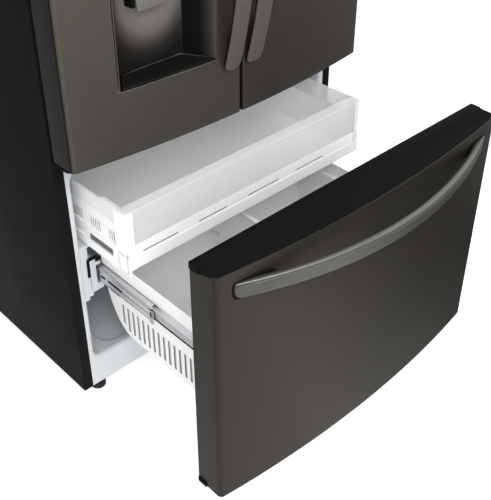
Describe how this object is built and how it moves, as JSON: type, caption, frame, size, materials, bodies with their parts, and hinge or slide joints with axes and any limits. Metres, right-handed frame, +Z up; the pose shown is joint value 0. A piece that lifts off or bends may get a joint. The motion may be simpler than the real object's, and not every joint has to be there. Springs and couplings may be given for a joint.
{
  "type": "bottom freezer refrigerator",
  "caption": "Free-standing refrigerator with hinged upper doors, a bowed pull-out freezer drawer on telescopic rails, an inner tray, bow handles and a dispenser alcove.",
  "frame": {"origin": "on the floor, at the middle of the whole box with the drawer pulled out as shown", "axes": "+Z up; -Y is the front, where the doors and the drawer face; +X is to the right of someone who looks at the back, so the left door as seen from the front is at -X"},
  "size_m": [0.913, 1.3727, 1.779],
  "materials": {
    "black_stainless": "satin brushed, tinted coating",
    "handle_steel": "satin brushed, tinted coating",
    "case_black": "fine textured matte paint",
    "bare_steel": "zinc plated",
    "steel_structure": "galvanised",
    "black_plastic": "matte",
    "gloss_black": "gloss",
    "recess_plastic": "satin metallic",
    "liner_white": "semi gloss",
    "white_plastic": "semi gloss",
    "clear_plastic": "clear",
    "shelf_glass": "tempered",
    "gasket_rubber": "matte",
    "foot_rubber": "matte",
    "roller_nylon": "matte",
    "foam": "rigid foam",
    "coil_aluminium": "mill",
    "compressor_black": "gloss enamel",
    "brass": "machined",
    "fan_plastic": "matte"
  },
  "bodies": {
    "cabinet": {"cabinet_wrap": "case_black", "rear_panel": "steel_structure", "base_frame": "steel_structure", "cabinet_foam": "foam", "freezer_liner": "liner_white", "fridge_liner": "liner_white", "centre_crossbar": "case_black", "machine_room_cover": "steel_structure", "compressor": "compressor_black", "condenser": "coil_aluminium", "condenser_fan_motor": "steel_structure", "evaporator_cover": "white_plastic", "evaporator": "coil_aluminium", "shelf_glass": "shelf_glass", "shelf_frames": "white_plastic", "crisper_drawers": "clear_plastic", "top_hinges": "bare_steel", "hinge_covers": "black_plastic", "centre_hinges": "case_black", "screws": "bare_steel", "water_valve": "brass", "rails_fixed": "bare_steel"},
    "left_door": {"left_door_skin": "black_stainless", "left_door_caps": "black_plastic", "left_door_foam": "foam", "left_door_liner": "liner_white", "left_door_gasket": "gasket_rubber", "left_door_handle": "handle_steel", "left_door_bins": "clear_plastic", "dispenser_housing": "recess_plastic", "drip_tray": "black_plastic", "dispenser_panel": "gloss_black", "ice_maker_box": "white_plastic"},
    "dispenser_lever": {"dispenser_lever": "recess_plastic"},
    "mullion_flipper": {"mullion_flipper": "black_plastic"},
    "right_door": {"right_door_skin": "black_stainless", "right_door_caps": "black_plastic", "right_door_foam": "foam", "right_door_liner": "liner_white", "right_door_gasket": "gasket_rubber", "right_door_handle": "handle_steel", "right_door_bins": "clear_plastic"},
    "drawer": {"drawer_skin": "black_stainless", "drawer_caps": "black_plastic", "drawer_foam": "foam", "drawer_liner": "liner_white", "drawer_gasket": "gasket_rubber", "drawer_handle": "handle_steel", "drawer_rail_arms": "bare_steel", "freezer_basket": "white_plastic"},
    "basket_divider": {"basket_divider": "white_plastic"},
    "rails_mid": {"rails_mid": "bare_steel"},
    "tray": {"tray_body": "white_plastic", "tray_front": "clear_plastic"},
    "condenser_fan": {"condenser_fan": "fan_plastic"},
    "evaporator_fan": {"evaporator_fan": "fan_plastic"},
    "foot_left": {"foot_left": "foot_rubber"},
    "foot_right": {"foot_right": "foot_rubber"},
    "roller_left": {"roller_left": "roller_nylon"},
    "roller_right": {"roller_right": "roller_nylon"}
  },
  "joints": [
    {"name": "left_door_hinge", "type": "hinge", "parent": "cabinet", "child": "left_door", "pos_m": [-0.438, -0.0995, 1.2], "axis": [0, 0, -1], "range_deg": [0, 125]},
    {"name": "right_door_hinge", "type": "hinge", "parent": "cabinet", "child": "right_door", "pos_m": [0.438, -0.0995, 1.2], "axis": [0, 0, 1], "range_deg": [0, 125]},
    {"name": "mullion_fold", "type": "hinge", "parent": "left_door", "child": "mullion_flipper", "pos_m": [-0.033, -0.043, 1.2], "axis": [0, 0, -1], "range_deg": [0, 90]},
    {"name": "dispenser_lever_pivot", "type": "hinge", "parent": "left_door", "child": "dispenser_lever", "pos_m": [-0.204, -0.1185, 1.2], "axis": [1, 0, 0], "range_deg": [0, 8], "stiffness_Nm_per_rad": 1.2, "springref_deg": -2.86},
    {"name": "drawer_slide", "type": "slide", "parent": "cabinet", "child": "drawer", "axis": [0, -1, 0], "range_m": [-0.449, 0.04]},
    {"name": "rail_slide", "type": "slide", "parent": "cabinet", "child": "rails_mid", "axis": [0, -1, 0], "range_m": [-0.2245, 0.02]},
    {"name": "tray_slide", "type": "slide", "parent": "cabinet", "child": "tray", "axis": [0, -1, 0], "range_m": [-0.185, 0.0165]},
    {"name": "divider_slide", "type": "slide", "parent": "drawer", "child": "basket_divider", "axis": [1, 0, 0], "range_m": [-0.25, 0.25]},
    {"name": "condenser_fan_spin", "type": "hinge", "parent": "cabinet", "child": "condenser_fan", "pos_m": [0.05, 0.5605, 0.132], "axis": [1, 0, 0], "continuous": true},
    {"name": "evaporator_fan_spin", "type": "hinge", "parent": "cabinet", "child": "evaporator_fan", "pos_m": [0, 0.4965, 0.612], "axis": [0, 1, 0], "continuous": true},
    {"name": "foot_left_screw", "type": "slide", "parent": "cabinet", "child": "foot_left", "axis": [0, 0, -1], "range_m": [0, 0.015]},
    {"name": "foot_right_screw", "type": "slide", "parent": "cabinet", "child": "foot_right", "axis": [0, 0, -1], "range_m": [0, 0.015]},
    {"name": "roller_left_spin", "type": "hinge", "parent": "cabinet", "child": "roller_left", "pos_m": [-0.41, 0.6405, 0.024], "axis": [1, 0, 0], "continuous": true},
    {"name": "roller_right_spin", "type": "hinge", "parent": "cabinet", "child": "roller_right", "pos_m": [0.41, 0.6405, 0.024], "axis": [1, 0, 0], "continuous": true}
  ],
  "couplings": [
    {"joint": "rail_slide", "follows": "drawer_slide", "ratio": 0.5},
    {"joint": "tray_slide", "follows": "drawer_slide", "ratio": 0.412}
  ]
}
